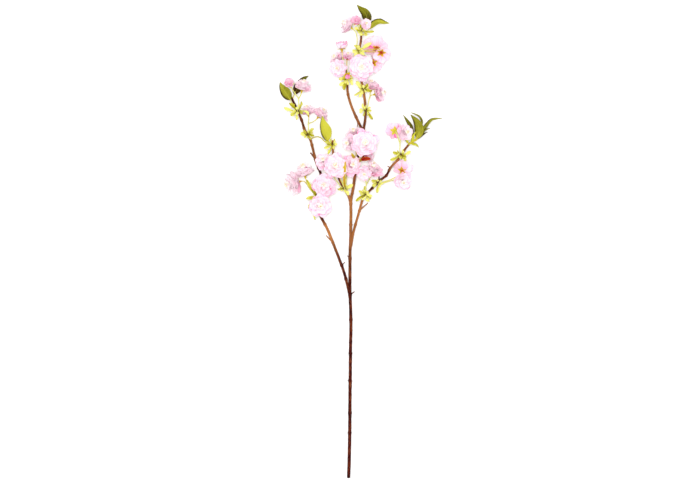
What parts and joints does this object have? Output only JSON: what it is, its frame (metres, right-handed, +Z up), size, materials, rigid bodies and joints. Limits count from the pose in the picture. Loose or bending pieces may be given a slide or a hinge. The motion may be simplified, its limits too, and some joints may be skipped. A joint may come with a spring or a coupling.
{
  "type": "cherry blossom sprig",
  "caption": "Long cut stem of double-flowered cherry lying on its blossoms, forked into side branches with pink flower clusters, bracts and young leaves.",
  "frame": {"origin": "centre of the sprig's box, on the surface it lies on", "axes": "+Y along the stem from its cut end to the crown, +X towards the right-hand branch seen from above, +Z up from the surface"},
  "size_m": [0.359, 1.0424, 0.101],
  "materials": {
    "bark": "satin",
    "petal": "matte",
    "deep_petal": "matte",
    "young_green": "satin",
    "leaf": "satin"
  },
  "bodies": {
    "root": {"main_stem": "bark", "left_branch": "bark", "right_branch": "bark", "crown_tip_stalk": "young_green", "crown_tip_blossom_1": "deep_petal", "crown_tip_blossom_2": "petal", "crown_high_stalk": "young_green", "crown_high_blossom_1": "petal", "crown_high_blossom_2": "petal", "crown_high_blossom_3": "petal", "crown_high_blossom_4": "petal", "crown_high_blossom_5": "petal", "crown_left_stalk": "young_green", "crown_left_blossom_1": "deep_petal", "crown_left_blossom_2": "petal", "crown_left_blossom_3": "petal", "crown_left_bud_4": "deep_petal", "crown_left_blossom_5": "petal", "crown_right_stalk": "young_green", "crown_fork_stalk": "young_green", "crown_fork_blossom_1": "petal", "crown_fork_blossom_2": "petal", "left_high_stalk": "young_green", "left_high_blossom_1": "deep_petal", "left_high_blossom_2": "petal", "left_middle_stalk": "young_green", "left_middle_blossom_1": "petal", "left_middle_blossom_2": "petal", "left_low_stalk": "young_green", "left_low_blossom_1": "petal", "left_low_blossom_2": "petal", "left_low_blossom_3": "petal", "left_low_blossom_4": "petal", "centre_left_stalk": "young_green", "centre_left_blossom_1": "petal", "centre_left_blossom_2": "petal", "centre_left_blossom_3": "petal", "centre_twig_tip_stalk": "young_green", "right_low_stalk": "young_green", "right_low_blossom_1": "petal", "right_low_blossom_2": "petal", "centre_high_stalk": "young_green", "centre_high_blossom_1": "petal", "centre_high_blossom_2": "petal", "centre_high_blossom_3": "petal", "centre_high_blossom_4": "petal", "right_middle_stalk": "young_green", "right_middle_blossom_1": "petal", "right_middle_blossom_2": "petal", "right_high_stalk": "young_green", "right_high_blossom_1": "petal", "right_high_blossom_2": "petal", "crown_leaf_upper": "leaf", "crown_leaf_right": "leaf", "left_leaf_outer": "leaf", "left_leaf_behind": "leaf", "centre_leaf": "leaf", "right_leaf_broad": "leaf", "right_leaf_long": "leaf", "right_leaf_small": "leaf"}
  },
  "joints": []
}
